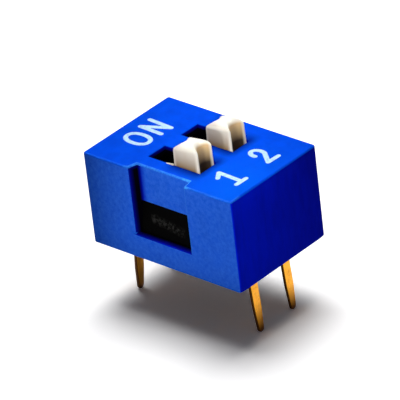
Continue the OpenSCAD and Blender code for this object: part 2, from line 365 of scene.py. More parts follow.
def strip_along(path, half_width, half_thickness, edge, x=0.0, steps=3):
    """Mesh data of a flat strip whose path lies in (y, z) and whose width runs along X.

    Formula: at each point of the path a rectangle with round corners stands square to the
    path. Its corner arcs have their centres at (half size - radius), along X and along the
    path's normal, and its sizes may change from point to point.
    """
    path = np.asarray(path, float)
    along = np.gradient(path, axis=0)
    along /= np.linalg.norm(along, axis=1, keepdims=True)
    normal = np.stack([-along[:, 1], along[:, 0]], -1)
    wide = np.broadcast_to(half_width, len(path))[:, None]
    thick = np.broadcast_to(half_thickness, len(path))[:, None]
    radius = np.minimum(edge, 0.98 * np.minimum(wide, thick))
    turn = np.linspace(0, math.pi / 2, steps + 1)
    angles = (np.arange(4)[:, None] * math.pi / 2 + turn).ravel()
    corner = np.repeat([[1, 1], [-1, 1], [-1, -1], [1, -1]], steps + 1, axis=0)
    across = corner[:, 0] * (wide - radius) + radius * np.cos(angles)
    up = corner[:, 1] * (thick - radius) + radius * np.sin(angles)
    ring = path[:, None, :] + up[:, :, None] * normal[:, None, :]
    return lofted(np.concatenate([x - across[:, :, None], ring], -1))


def arc(centre, radius, start, end, steps):
    """Points on a circle from one angle in degrees to another."""
    swept = np.radians(np.linspace(start, end, steps))
    return np.asarray(centre) + radius * np.stack([np.cos(swept), np.sin(swept)], -1)


def stroke_outline(path, width, steps=10):
    """Outline of a pen stroke of constant width with round ends.

    Formula: the path is moved half the width to each side along its normal, and half a circle
    of that radius joins the two sides at each end.
    """
    path = np.asarray(path, float)
    along = np.gradient(path, axis=0)
    along /= np.linalg.norm(along, axis=1, keepdims=True)
    right = np.stack([along[:, 1], -along[:, 0]], -1) * width / 2
    first, last = np.degrees(np.arctan2(right[[0, -1], 1], right[[0, -1], 0]))
    head = arc(path[-1], width / 2, last, last + 180, steps)
    tail = arc(path[0], width / 2, first + 180, first + 360, steps)
    return np.concatenate([path[1:-1] + right[1:-1], head, (path[1:-1] - right[1:-1])[::-1], tail])


# ---- meshes ---------------------------------------------------------------------------------

# numbers of a moulding's materials: its satin faces, its rounded edges, and on the cover also
# the long sides in painted shade and the inner walls in painted shade
SATIN, ROUNDED, SHADED_SIDE, INNER = range(4)


def working_object(name, data):
    """An object of mesh data in millimetres, in the scene while it is worked on."""
    points, faces = data
    mesh = bpy.data.meshes.new(name)
    mesh.from_pydata(points.tolist(), [], faces)
    mesh.validate()
    obj = bpy.data.objects.new(name, mesh)
    bpy.context.scene.collection.objects.link(obj)
    return obj


def apply_modifiers(obj):
    """Takes the object's modifiers into its mesh."""
    bpy.context.view_layer.update()
    graph = bpy.context.evaluated_depsgraph_get()
    mesh = bpy.data.meshes.new_from_object(obj.evaluated_get(graph))
    obj.modifiers.clear()
    obj.data = mesh


def combined(name, first, others):
    """An object made of the first mesh data joined with or cut by the others, as (how, data)."""
    obj = working_object(name, first)
    tools = []
    for how, data in others:
        tools.append(working_object("tool", data))
        change = obj.modifiers.new("change", "BOOLEAN")
        change.operation = how
        change.solver = "EXACT"
        change.object = tools[-1]
    apply_modifiers(obj)
    for tool in tools:
        bpy.data.objects.remove(tool)
    if not len(obj.data.polygons):
        raise RuntimeError(f"{name} came out empty")
    return obj


def mesh_values(items, key, width=1, kind=float):
    """What each of a mesh's items has under a key: an array of numbers, or of rows if wider."""
    values = np.empty(len(items) * width, kind)
    items.foreach_get(key, values)
    return values.reshape(-1, width) if width > 1 else values


def edge_faces(mesh):
    """For each edge, the two faces that it joins, as an array of pairs."""
    loops = mesh_values(mesh.loops, "edge_index", kind=int)
    totals = mesh_values(mesh.polygons, "loop_total", kind=int)
    owner = np.repeat(np.arange(len(totals)), totals)
    if len(loops) != 2 * len(mesh.edges):
        raise RuntimeError(f"{mesh.name} is not closed")
    return owner[np.argsort(loops, kind="stable")].reshape(-1, 2)


def edge_turns(normals, one, two):
    """Angle by which each edge's second face turns away from its first."""
    return np.arccos(np.clip((normals[one] * normals[two]).sum(1), -1, 1))


def mark_sharp(mesh, limit=math.radians(40)):
    """Marks the edges that turn by more than the limit as sharp, so that shading breaks there."""
    turned = edge_turns(mesh_values(mesh.polygons, "normal", 3), *edge_faces(mesh).T)
    kept = mesh.attributes.get("sharp_edge")
    sharp = kept or mesh.attributes.new("sharp_edge", "BOOLEAN", "EDGE")
    sharp.data.foreach_set("value", turned > limit)


def round_edges(obj, radius_at, sharp=math.radians(25), segments=4):
    """Rounds each outward edge that is sharper than the angle, by the radius that radius_at
    gives for the edge's middle.

    Formula: an edge points outwards if the second face's middle lies behind the first face.
    """
    mesh = obj.data
    ends = mesh_values(mesh.edges, "vertices", 2, int)
    middle = mesh_values(mesh.vertices, "co", 3)[ends].mean(1)
    normals = mesh_values(mesh.polygons, "normal", 3)
    centres = mesh_values(mesh.polygons, "center", 3)
    one, two = edge_faces(mesh).T
    outward = ((centres[two] - middle) * normals[one]).sum(1) < 0
    turned = edge_turns(normals, one, two)
    radius = np.where(outward & (turned > sharp), radius_at(middle), 0.0)
    widest = radius.max()
    # the mesh needs a slot for the material that the rounded faces take
    for _ in range(ROUNDED + 1 - len(mesh.materials)):
        mesh.materials.append(None)
    weights = mesh.attributes.new("bevel_weight_edge", "FLOAT", "EDGE")
    weights.data.foreach_set("value", (radius / widest).astype(np.float32))
    bevel = obj.modifiers.new("rounded edges", "BEVEL")
    bevel.limit_method = "WEIGHT"
    bevel.offset_type = "OFFSET"
    bevel.width = widest
    bevel.segments = segments
    bevel.use_clamp_overlap = False
    bevel.loop_slide = False
    bevel.material = ROUNDED
    apply_modifiers(obj)


def finished(obj, body, materials, node=None):
    """Writes the mesh in metres, gives it its materials, shades it smooth with flat faces kept
    flat,
    and hands it over to the frame: it rides a body and may stand for a CAD node, whose box then
    holds every point and which is hidden."""
    mesh = obj.data
    mesh.name = obj.name
    points = mesh_values(mesh.vertices, "co", 3)
    if node:
        points = np.clip(points, *box_mm(node))
    mesh.vertices.foreach_set("co", points.ravel() * MM)
    mesh.polygons.foreach_set("use_smooth", np.ones(len(mesh.polygons), bool))
    numbers = mesh_values(mesh.polygons, "material_index", kind=int)
    mark_sharp(mesh)
    mesh.materials.clear()
    for material in materials:
        mesh.materials.append(material)
    mesh.polygons.foreach_set("material_index", np.minimum(numbers, len(materials) - 1))
    mesh.update()
    even = obj.modifiers.new("even normals", "WEIGHTED_NORMAL")
    even.weight = 100  # large faces decide alone
    even.keep_sharp = True
    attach(obj, body)
    if node:
        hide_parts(node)
    return obj


# ---- materials ------------------------------------------------------------------------------


def feed(tree, node, inputs):
    """Gives each of a node's inputs a value or another node's output."""
    for key, value in inputs.items():
        if isinstance(value, bpy.types.NodeSocket):
            tree.links.new(value, node.inputs[key])
        else:
            node.inputs[key].default_value = value


def add(tree, kind, inputs=None, **values):
    """Adds a node with its settings and its inputs."""
    node = tree.nodes.new(kind)
    for key, value in values.items():
        setattr(node, key, value)
    feed(tree, node, inputs or {})
    return node


def new_material(name):
    """A material with a Principled shader, as (material, tree, shader, object coordinates)."""
    material = bpy.data.materials.new(name)
    material.use_nodes = True
    tree = material.node_tree
    shader = tree.nodes["Principled BSDF"]
    return material, tree, shader, add(tree, "ShaderNodeTexCoord").outputs["Object"]


def rgba(value):
    """A colour with full opacity."""
    return (*[float(v) for v in value], 1.0)


def axes(tree, coords):
    """The place along X, Y and Z, as three values."""
    return tuple(add(tree, "ShaderNodeSeparateXYZ", {"Vector": coords}).outputs)


def noise(tree, coords, millimetres, detail=2.0, roughness=0.5):
    """Value of a noise whose patches are so many millimetres across."""
    return add(tree, "ShaderNodeTexNoise", {
        "Vector": coords, "Scale": 1 / (millimetres * MM), "Detail": detail,
        "Roughness": roughness}).outputs["Fac"]


def worked(tree, operation, *values):
    """Result of one step of sums with the values, numbers or outputs of other nodes."""
    return add(tree, "ShaderNodeMath", dict(enumerate(values)), operation=operation).outputs[0]


def product(tree, value, *others):
    """The value multiplied by each of the others in turn."""
    for other in others:
        value = worked(tree, "MULTIPLY", value, other)
    return value


def spread(tree, value, low, high, to_low=0.0, to_high=1.0):
    """A value's range from low to high stretched to another range, and held at its ends."""
    return add(tree, "ShaderNodeMapRange", {
        "Value": value, "From Min": low, "From Max": high,
        "To Min": to_low, "To Max": to_high}).outputs["Result"]


def ramp(tree, place, low, high, to_low=0.0, to_high=1.0):
    """The same for a place or a distance, with low and high in millimetres."""
    return spread(tree, place, low * MM, high * MM, to_low, to_high)


def mixed(tree, share, first, second):
    """The first colour going over to the second as the share goes from 0 to 1."""
    # a mix node has inputs of its own for colours, the seventh and eighth
    return add(tree, "ShaderNodeMix", {0: share, 6: first, 7: second},
               data_type="RGBA").outputs[2]


def grained(tree, shader, height, depth):
    """Gives the shader a relief of the given height value, so many millimetres deep."""
    bump = add(tree, "ShaderNodeBump", {"Height": height, "Distance": depth * MM, "Strength": 1.0})
    feed(tree, shader, {"Normal": bump.outputs["Normal"]})


def warm_bounce(tree, s, shown):
    """The shown blue, of which little is thrown back onto the cream sliders, so that they keep
    their warm shade."""
    bounce = add(tree, "ShaderNodeLightPath").outputs["Is Diffuse Ray"]
    return mixed(tree, bounce, shown, rgba(s.throw_colour))


def blue_cover_pbt(s, cover_box, row):
    """Injection-moulded PBT, spark-eroded tool: an even satin blue. The end faces are painted
    paler and greyer in patches, part painted sheen and part scuffing. The slots stand at +row and
    -row."""
    material, tree, shader, coords = new_material("blue_moulded_pbt")
    end_face, top = cover_box[1][0], cover_box[1][2]
    x, y, z = axes(tree, coords)
    mottle = spread(tree, noise(tree, coords, 0.9, 4.0, 0.6), 0.4, 0.7)
    shown = mixed(tree, mottle, rgba(s.body_colour), rgba(s.mottle_colour))
    distance = worked(tree, "ABSOLUTE", x)
    # painted sheen and scuffing: the end faces are painted paler and greyer in patches
    sheen_and_scuff = ramp(tree, distance, end_face - 0.75, end_face - 0.65)
    patches = spread(tree, noise(tree, coords, 0.22, 5.0, 0.75), 0.33, 0.67, 0.35, 1.0)
    below = ramp(tree, z, top - 0.05, top - 0.1)
    shown = mixed(tree, product(tree, sheen_and_scuff, patches, below), shown, rgba(s.scuff_colour))
    # painted light: the top's numbered left-hand corner is painted lighter, where the light falls
    painted_light = product(tree, spread(tree, below, 1.0, 0.0), ramp(tree, y, -0.5, -4.0),
                     ramp(tree, x, 2.5, -1.5))
    shown = mixed(tree, painted_light, shown, rgba(s.bright_colour))
    # painted shade: the inner corner of the recess is painted navy and then black
    corner = s.recess_width / 2 - s.recess_taper
    back = s.recess_depth - end_face
    for tone, reach, full in ((s.wall_colour, 0.5, 0.15), (s.dark_colour, 0.25, 0.0)):
        corner_shade = product(tree, ramp(tree, y, corner - reach, corner - full),
                      ramp(tree, x, back + 0.1, back + 0.05),
                      ramp(tree, x, back - 0.1, back - 0.05), below)
        shown = mixed(tree, corner_shade, shown, rgba(tone))
    # painted shadow: the top is painted darker round the foot of each knob
    off = worked(tree, "ABSOLUTE", worked(tree, "SUBTRACT", distance, row * MM))
    side, end = s.slot_width / 2, s.slot_length / 2
    painted_shadow = product(tree, ramp(tree, off, side + 0.75, side), ramp(tree, y, -end - 0.5, -end),
                    ramp(tree, y, 0.5, -0.1), 0.9)
    shown = mixed(tree, painted_shadow, shown, rgba(s.grime_colour))
    # grains of 0.07 mm stand for the finer ones of the tool, which would not show
    grain = noise(tree, coords, 0.07, 2.0, 0.6)
    feed(tree, shader, {"Base Color": warm_bounce(tree, s, shown),
                        "Roughness": spread(tree, grain, 0.3, 0.7, 0.5, 0.62),
                        "Specular IOR Level": 0.012})
    grained(tree, shader, grain, 0.004)
    return material


def blue_shaded_side(s):
    """The same PBT on the long sides, in painted shade: a deeper, purer blue with darker upright
    streaks. The painted shade deepens towards the right-hand end."""
    material, tree, shader, coords = new_material("blue_shaded_side")
    lines = add(tree, "ShaderNodeMapping", {"Vector": coords, "Scale": (1, 1, 0.2)})
    drawn = noise(tree, lines.outputs[0], 0.3, 3.0, 0.6)
    # darker streaks, and painted shade that deepens towards the right-hand end
    deep = worked(tree, "ADD", spread(tree, drawn, 0.4, 0.7, 0.0, 0.25),
                  ramp(tree, axes(tree, coords)[0], -2.5, 3.3, 0.0, 0.9))
    shown = mixed(tree, deep, rgba(s.side_colour), rgba(s.side_shade))
    feed(tree, shader, {"Base Color": warm_bounce(tree, s, shown), "Roughness": 0.45,
                        "Specular IOR Level": 0.012})
    return material


def blue_shaded_inner_wall(s, cover_box):
    """The same PBT inside the slots, the recess and the cavity, in painted shade: a navy rim that
    turns black a few tenths of a millimetre further in."""
    material, tree, shader, coords = new_material("blue_shaded_inner_wall")
    end_face, top = cover_box[1][0], cover_box[1][2]
    x, _, z = axes(tree, coords)
    down = ramp(tree, z, top - 0.02, top - 0.28)
    inward = ramp(tree, x, 0.02 - end_face, 0.36 - end_face)
    share = worked(tree, "POWER", worked(tree, "MINIMUM", down, inward), 0.6)
    shown = mixed(tree, share, rgba(s.wall_colour), rgba(s.dark_colour))
    feed(tree, shader, {"Base Color": shown, "Roughness": 0.6, "Specular IOR Level": 0.02})
    return material


def blue_highlit_edge(s):
    """The same PBT along its edges. Those of the left-hand end carry a painted highlight in
    patches, which shows as a thin pale line."""
    material, tree, shader, coords = new_material("blue_highlit_edge")
    x, y, z = axes(tree, coords)
    patches = spread(tree, noise(tree, coords, 0.12, 3.0, 0.7), 0.35, 0.6, 0.35, 1.0)
    left_end = ramp(tree, x, -2.5, -2.7)
    # the painted highlight is palest along the top of the recess, and less so down the uprights
    share = product(tree, patches, left_end,
                    ramp(tree, worked(tree, "ABSOLUTE", y), 2.3, 2.0, 0.22, 1.0),
                    ramp(tree, y, -1.2, -1.75, 0.5, 1.0), ramp(tree, z, 5.05, 5.25, 0.5, 1.0))
    shown = mixed(tree, share, rgba(s.body_colour), rgba(s.edge_colour))
    feed(tree, shader, {"Base Color": shown, "Roughness": 0.4, "Specular IOR Level": 0.02})
    grained(tree, shader, noise(tree, coords, 0.09), 0.01)
    return material


def black_base_pbt(s):
    """Glass-filled black PBT: a dull black with a fine grain, and a grey patch where the latch
    was scraped as it snapped over its sill."""
    material, tree, shader, coords = new_material("black_glass_filled_pbt")
    x, y, z = axes(tree, coords)
    # the patch lies on the nose of the left-hand latch, and slants down towards -Y
    middle, slope = 2.25 * MM, 0.11
    level = worked(tree, "ADD", z, worked(tree, "MULTIPLY", y, -slope))
    height = worked(tree, "ABSOLUTE", worked(tree, "SUBTRACT", level, middle))
    patches = spread(tree, noise(tree, coords, 0.14, 5.0, 0.75), 0.45, 0.7)
    share = product(tree, patches, ramp(tree, height, 0.05, 0.3, 1.0, 0.0),
                    ramp(tree, y, 1.15, 0.95), ramp(tree, y, -1.25, -0.9),
                    ramp(tree, x, -2.6, -2.7))
    # and is brightest in the spot where the latch first touched
    spot = add(tree, "ShaderNodeVectorMath", {0: coords, 1: (-3.02 * MM, 0.9 * MM, 2.3 * MM)},
               operation="DISTANCE").outputs["Value"]
    share = worked(tree, "MAXIMUM", share, ramp(tree, spot, 0.22, 0.06))
    grain = noise(tree, coords, 0.08, 3.0, 0.6)
    shown = mixed(tree, share, rgba(s.body_colour), rgba(s.scrape_colour))
    feed(tree, shader, {"Base Color": shown, "Specular IOR Level": 0.01,
                        "Roughness": spread(tree, grain, 0.3, 0.7, 0.5, 0.7)})
    # the scrape is furrowed twice as deep as the grain
    grained(tree, shader, worked(tree, "MULTIPLY_ADD", share, 2.0, grain), 0.006)
    return material


def cream_slider_acetal(s, row, middle_y, cover_top):
    """Moulded acetal: a waxy cream that lets a little light through. Painted shade and dirt: the
    finger grooves are painted brown, and the foot of each knob a greyer tone.

    The knobs stand at +row and -row along X, with their middles at middle_y.
    """
    material, tree, shader, coords = new_material("cream_moulded_acetal")
    warm = spread(tree, noise(tree, coords, 0.5, 3.0, 0.6), 0.45, 0.75, 0.0, 0.5)
    shown = mixed(tree, warm, rgba(s.body_colour), rgba(s.shade_colour))
    x, y, z = axes(tree, coords)
    height = worked(tree, "SUBTRACT", z, cover_top * MM)
    # place in plan, measured from the axis of the nearer groove
    axis = s.knob_length / 2 + s.groove_radius - s.groove_depth
    plan = []
    for value, start, reach in ((x, 0.0, row), (y, middle_y, axis)):
        near = worked(tree, "ABSOLUTE", worked(tree, "SUBTRACT", value, start * MM))
        plan.append(worked(tree, "SUBTRACT", near, reach * MM))
    # painted shade and dirt: the foot is painted greyer, but less so along the upright edges
    end = s.knob_length / 2 - axis
    foot = product(tree, ramp(tree, height, 1.25, 0.0),
                   ramp(tree, plan[1], end, end - 0.25, 0.15, 1.0))
    shown = mixed(tree, foot, shown, rgba(s.foot_colour))
    spot = add(tree, "ShaderNodeCombineXYZ", {"X": plan[0], "Y": plan[1]}).outputs[0]
    away = add(tree, "ShaderNodeVectorMath", {0: spot}, operation="LENGTH").outputs["Value"]
    across = worked(tree, "ABSOLUTE", plan[0])
    rim, side = s.groove_radius + s.draft, s.knob_width / 2
    # painted shade and dirt: each finger groove is painted tan at its top, going over to
    # near-black at its foot
    groove = product(tree, ramp(tree, away, rim + 0.1, rim + 0.01),
                     ramp(tree, across, side - 0.1, side - 0.2), ramp(tree, height, 1.28, 1.05))
    deep = ramp(tree, height, 1.0, 0.1)
    tone = mixed(tree, deep, rgba(s.groove_colour), rgba(s.grime_colour))
    feed(tree, shader, {"Base Color": mixed(tree, groove, shown, tone), "Roughness": 0.42,
                        "Specular IOR Level": 0.4, "Subsurface Weight": 0.12,
                        "Subsurface Radius": (1.0, 0.8, 0.6), "Subsurface Scale": 0.25 * MM})
    grained(tree, shader, noise(tree, coords, 0.1, 3.0, 0.6), 0.002)
    return material


def cream_shaving(s):
    """Acetal again, as a thin dull sliver."""
    material, tree, shader, coords = new_material("cream_acetal_shaving")
    dusty = spread(tree, noise(tree, coords, 0.1, 3.0, 0.6), 0.35, 0.7, 0.05, 0.4)
    shown = mixed(tree, dusty, rgba(s.shade_colour), rgba(s.grime_colour))
    feed(tree, shader, {"Base Color": shown, "Roughness": 0.6})
    return material


def gold_plated_pin(s):
    """Stamped copper alloy under gold flash: a warm soft mirror, drawn lines along the pin, and
    a browner tone towards the sheared tip where the plating is thin."""
    material, tree, shader, coords = new_material("gold_plated_stamping")
    tip = ramp(tree, axes(tree, coords)[2], -2.0, -3.5)
    patch = spread(tree, noise(tree, coords, 0.4, 4.0, 0.7), 0.45, 0.75, 0.0, 0.5)
    shown = mixed(tree, worked(tree, "MAXIMUM", tip, patch), rgba(s.gold_colour),
                  rgba(s.worn_colour))
    drawn = add(tree, "ShaderNodeMapping", {"Vector": coords, "Scale": (1, 1, 0.06)})
    lines = noise(tree, drawn.outputs[0], 0.05, 2.0, 0.5)
    feed(tree, shader, {"Base Color": shown, "Metallic": 1.0,
                        "Roughness": spread(tree, lines, 0.3, 0.7, 0.24, 0.4)})
    grained(tree, shader, lines, 0.002)
    return material


def sheared_strip_edge(s):
    """Copper alloy where the plated strip was sheared through: with no gold on it, it has
    tarnished to a dull dark brown, and draws a dark line down each side of a pin."""
    material, tree, shader, coords = new_material("tarnished_sheared_edge")
    shown = mixed(tree, noise(tree, coords, 0.12, 3.0, 0.6), rgba(s.worn_colour),
                  rgba(s.bare_colour))
    feed(tree, shader, {"Base Color": shown, "Metallic": 1.0, "Roughness": 0.5})
    return material


def gold_plated_spring(s):
    """Rolled spring strip under gold flash: smoother and brighter than the pins."""
    material, tree, shader, coords = new_material("gold_plated_spring_strip")
    rolled = add(tree, "ShaderNodeMapping", {"Vector": coords, "Scale": (0.08, 1, 1)})
    lines = noise(tree, rolled.outputs[0], 0.05, 2.0, 0.5)
    shade = spread(tree, lines, 0.3, 0.8, 0.0, 0.3)
    feed(tree, shader, {"Base Color": mixed(tree, shade, rgba(s.gold_colour), rgba(s.worn_colour)),
                        "Metallic": 1.0, "Roughness": spread(tree, lines, 0.3, 0.7, 0.16, 0.28)})
    return material


def pad_printed_ink(s):
    """White pad-printing ink: matt, uneven in thickness, so that the blue tints it in places."""
    material, tree, shader, coords = new_material("white_pad_print_ink")
    thin = spread(tree, noise(tree, coords, 0.16, 4.0, 0.65), 0.48, 0.72)
    feed(tree, shader, {"Base Color": mixed(tree, thin, rgba(s.ink_colour), rgba(s.thin_colour)),
                        "Roughness": 0.6, "Specular IOR Level": 0.2})
    grained(tree, shader, noise(tree, coords, 0.08), 0.004)
    return material


# ---- cover ----------------------------------------------------------------------------------


def recess_outline(s, face, over=0.3):
    """Plan of the recess as it would lie in the end towards +X.

    The sides close in by the taper over the recess's depth. The outer edge on the ON side is an
    arc, and the outline swings out to it.
    """
    half, inner = s.recess_width / 2, s.recess_width / 2 - s.recess_taper
    r = s.recess_round
    swing = arc([face - r, half + r], r, -90, 0, 9)
    points = [[face + over, half + r], [face + over, -half], [face, -half],
              [face - s.recess_depth, -inner], [face - s.recess_depth, inner]]
    outline = np.concatenate([points, swing])
    area = np.cross(outline, np.roll(outline, -1, axis=0)).sum()
    return outline if area > 0 else outline[::-1]


def mirrored_x(data):
    """The same mesh data mirrored along the row, with its faces turned back outwards."""
    points, faces = data
    return points * [-1, 1, 1], [f[::-1] for f in faces]


def slot_rectangle(s, node):
    """Plan of the slot over a slider: in line with it along the row, and centred across it."""
    low, high = box_mm(node)
    middle = (low[0] + high[0]) / 2
    half, reach = s.slot_width / 2, s.slot_length / 2
    return rectangle(middle - half, middle + half, -reach, reach)


def make_cover(context):
    """One blue moulding: a block with round upright corners, less its cavity, the two slots,
    the recess in the left-hand end, and the latch window and sill pocket in each end."""
    s = settings(context, "cover_sizes")
    low, high = box_mm("cover")
    over = 0.3
    block = prism(rounded_outline(rectangle(low[0], high[0], low[1], high[1]),
                                  s.upright_radius), low[2], high[2])
    inner_x, inner_y = high[0] - s.end_wall, high[1] - s.side_wall
    ceiling = high[2] - s.top_wall
    window_top = s.sill_height + s.window_height
    half_window = s.recess_width / 2 - s.recess_taper
    cuts = [prism(rectangle(-inner_x, inner_x, -inner_y, inner_y), low[2] - over, ceiling)]
    cuts += [prism(slot_rectangle(s, node), ceiling - over, high[2] + over) for node in SLIDERS]
    recess = prism(recess_outline(s, high[0]), s.sill_height, high[2] + over)
    cuts.append(mirrored_x(recess))
    window = prism(rectangle(inner_x - over, high[0] + over, -half_window, half_window),
                   s.sill_height, window_top)
    pocket = prism(rectangle(inner_x - over, high[0] - s.sill_wall, -half_window, half_window),
                   low[2] - over, s.sill_height + over)
    for cut in (window, pocket):
        cuts += [cut, mirrored_x(cut)]
    obj = combined("cover_moulding", block, [("DIFFERENCE", cut) for cut in cuts])
    near = 0.001

    def radius_at(middle):
        """Edges round the top take the top radius, those of the slots and windows the smaller
        one, and edges within the cavity none."""
        x, y, z = np.abs(middle).T
        slot = (y < s.slot_length / 2 + near) & (x < high[0] - s.recess_depth - near)
        top = (z > high[2] - near) & ~slot
        inside = (x < inner_x + near) & (y < inner_y + near) & (z < ceiling + near)
        hidden = inside | ((x < high[0] - s.sill_wall + near) & (z < s.sill_height - near))
        return np.where(hidden, 0.0, np.where(top, s.top_radius, s.edge_radius))

    round_edges(obj, radius_at)
    faces = obj.data.polygons
    facing = np.abs(mesh_values(faces, "normal", 3))
    x, y, z = mesh_values(faces, "center", 3).T
    far_x, far_y = np.abs(x), np.abs(y)
    in_slot = (far_y < s.slot_length / 2 + near) & (far_x < inner_x) & (z > ceiling - near)
    in_recess = ((far_x > inner_x - near) & (far_y < s.recess_width / 2 + s.recess_round)
                 & (facing[:, 0] < 0.7) & (z > s.sill_height - near))
    # all of the cavity but the rim that stands on the board
    in_cavity = (far_x < inner_x + near) & (far_y < inner_y + near) & (z > 0.1)
    # the inner faces take the material painted with shade
    inner = (in_slot | in_recess | in_cavity) & (z < high[2] - near)
    number = mesh_values(faces, "material_index", kind=int)
    # the long sides take the material painted with shade
    number = np.where((number == SATIN) & (facing[:, 1] > 0.7), SHADED_SIDE, number)
    number = np.where((number != ROUNDED) & inner, INNER, number)
    # the slots' rims get no painted highlight, and the windows' edges take the walls' painted
    # shade
    rim = (far_y < s.slot_length / 2 + s.edge_radius + near) & (far_x < inner_x)
    number = np.where((number == ROUNDED) & rim & (z > ceiling), SATIN, number)
    off_sill, off_top = np.abs(z - s.sill_height), np.abs(z - window_top)
    window_edges = ((np.minimum(off_sill, off_top) < 2 * s.edge_radius)
                    & (far_y < (s.recess_width + s.edge_radius) / 2))
    number = np.where((number == ROUNDED) & window_edges, INNER, number)
    faces.foreach_set("material_index", number)
    row = abs(sum(box_mm(SLIDERS[0]))[0]) / 2
    materials = [blue_cover_pbt(s, (low, high), row), blue_highlit_edge(s), blue_shaded_side(s),
                 blue_shaded_inner_wall(s, (low, high))]
    return finished(obj, HOUSING, materials, "cover")


# ---- base -----------------------------------------------------------------------------------


def make_base(context):
    """One black moulding: a slab, the latch wall at each end, the rail between the sliders and
    the blocks over the roots of the terminals."""
    s = settings(context, "base_sizes")
    c = settings(context, "cover_sizes")
    low, high = box_mm("base")
    cover_high = box_mm("cover")[1]
    first, second = box_mm(SLIDERS[0])[1], box_mm(SLIDERS[1])[0]
    guide, stop, catch = 0.05, 0.25, 0.03  # room beside and ahead of the sliders, and over a sill
    slab_x = cover_high[0] - c.end_wall - s.fit_gap
    rail = (second[0] - first[0]) / 2 - guide
    latch_in = box_mm(SLIDERS[1])[1][0] + guide
    latch_out = cover_high[0] - c.sill_wall - s.fit_gap
    nose = cover_high[0] - s.nose_set
    nose_low = c.sill_height + catch
    latch_top = c.sill_height + c.window_height - s.fit_gap
    half_latch = c.recess_width / 2 - c.recess_taper - s.side_gap
    block_y = abs(box_mm(SLIDERS[0])[0][1]) + stop
    inside, pad_rise = 0.1, 0.01  # rail and blocks start inside the slab, and the pads clear it
    slab = prism(rectangle(-slab_x, slab_x, low[1], high[1]), low[2], s.floor_height - pad_rise)
    profile = [[low[2], latch_in], [low[2], latch_out], [nose_low, latch_out], [nose_low, nose],
               [nose_low + s.nose_land, nose], [latch_top, latch_out], [latch_top, latch_in]]
    latch = prism(profile, -half_latch, half_latch, "y")
    joins = [latch, mirrored_x(latch)]
    joins.append(prism(rectangle(-rail, rail, low[1], high[1]), s.floor_height - inside, high[2]))
    for sign in (-1, 1):
        ends = sorted((sign * block_y, sign * high[1]))
        joins.append(prism(rectangle(-slab_x, slab_x, *ends), s.floor_height - inside,
                           s.floor_height + s.block_height))
    obj = combined("base_moulding", slab, [("UNION", join) for join in joins])
    round_edges(obj, lambda middle: np.full(len(middle), s.edge_radius), segments=3)
    return finished(obj, HOUSING, [black_base_pbt(s)], "base")


# ---- sliders --------------------------------------------------------------------------------


def knob_outline(s, inset=0.0):
    """Plan of a knob with a finger groove in each end.

    Formula: an end is five arcs that touch: corner, lip, groove, lip, corner. The lip's centre
    stands off the groove's by the sum of their radii. An inset takes from the radius of corner
    and lip and adds to the groove's. The other end is the same, turned half round.
    """
    half, end = s.knob_width / 2, s.knob_length / 2
    rise = s.groove_radius - s.groove_depth + s.lip_radius
    across = math.sqrt((s.groove_radius + s.lip_radius) ** 2 - rise ** 2)
    lean = math.degrees(math.atan2(across, rise))
    corner, lip = s.corner_radius, s.lip_radius
    groove = arc([0, end - lip + rise], s.groove_radius + inset, lean - 90, -lean - 90, 20)
    parts = [arc([half - corner, end - corner], corner - inset, 0, 90, 8),
             arc([across, end - lip], lip - inset, 90, 90 + lean, 6),
             groove[1:-1],
             arc([-across, end - lip], lip - inset, 90 - lean, 90, 6),
             arc([corner - half, end - corner], corner - inset, 90, 180, 8)]
    one_end = np.concatenate(parts)
    return np.concatenate([one_end, -one_end])


def distance_to(points, outline):
    """Distance of each point to a closed outline: the least distance to any of its sides."""
    start, side = outline, np.roll(outline, -1, axis=0) - outline
    away = points[..., None, :] - start
    share = np.clip((away * side).sum(-1) / np.maximum((side ** 2).sum(-1), 1e-12), 0, 1)
    return np.linalg.norm(away - share[..., None] * side, axis=-1).min(-1)


def knob(s, base_z, top_z, centre):
    """Mesh data of a knob with leaning sides and a crowned top with round edges.

    Formula: the ridge is the parabola top - crown * ((y + peak) / half the length)^2. The rings
    of the top go from the outline to a near-rectangle inside it, and from there shrink towards
    the centre. Their height is ridge - r + sqrt(r^2 - (r - d)^2), where d is the distance to
    the outline, held at r, so that the narrow lips stay a little lower. The radius r goes over
    from that of the long edges to that of the groove's rim as a smooth step of x.
    """
    half = s.knob_length / 2

    def ridge(points):
        """Height of the ridge over points of the plan."""
        return top_z - s.crown * ((points[..., 1] + s.peak) / half) ** 2

    share = np.linspace(0, 1, 8)[:, None]
    plans = np.stack([knob_outline(s, s.draft * t) for t in share[:, 0]])
    edge = plans[-1]
    # the radius goes over between 0.06 and 0.22 mm in from the knob's side
    step = np.clip((s.knob_width / 2 - np.abs(edge[:, 0]) - 0.06) / 0.16, 0, 1)
    r = s.top_radius + (s.rim_radius - s.top_radius) * step * step * (3 - 2 * step)
    levels = base_z + (ridge(edge) - r - base_z) * share
    walls = np.concatenate([plans, levels[..., None]], -1)
    reach = np.array([s.knob_width / 2 - s.top_radius,
                      half - s.groove_depth - 0.7 * s.top_radius])
    # the near-rectangle keeps a trace of the outline, and shrinks to a twentieth of its size
    held = np.clip(edge, -reach, reach)
    plateau = held + 0.08 * (edge - held)
    core = plateau * 0.05
    share = 1 - np.cos(np.linspace(0, math.pi / 2, 18)[1:])
    rise = edge + share[:, None, None] * (plateau - edge)
    flat = plateau + np.linspace(0, 1, 9)[1:, None, None] * (core - plateau)
    rings = np.concatenate([rise, flat])
    depth = np.minimum(distance_to(rings, edge), r)
    height = ridge(rings) - r + np.sqrt(np.maximum(r ** 2 - (r - depth) ** 2, 0))
    height[-1] = height[-1].mean()
    tops = np.concatenate([rings, height[..., None]], -1)
    return lofted(np.concatenate([walls, tops]) + [*centre, 0])


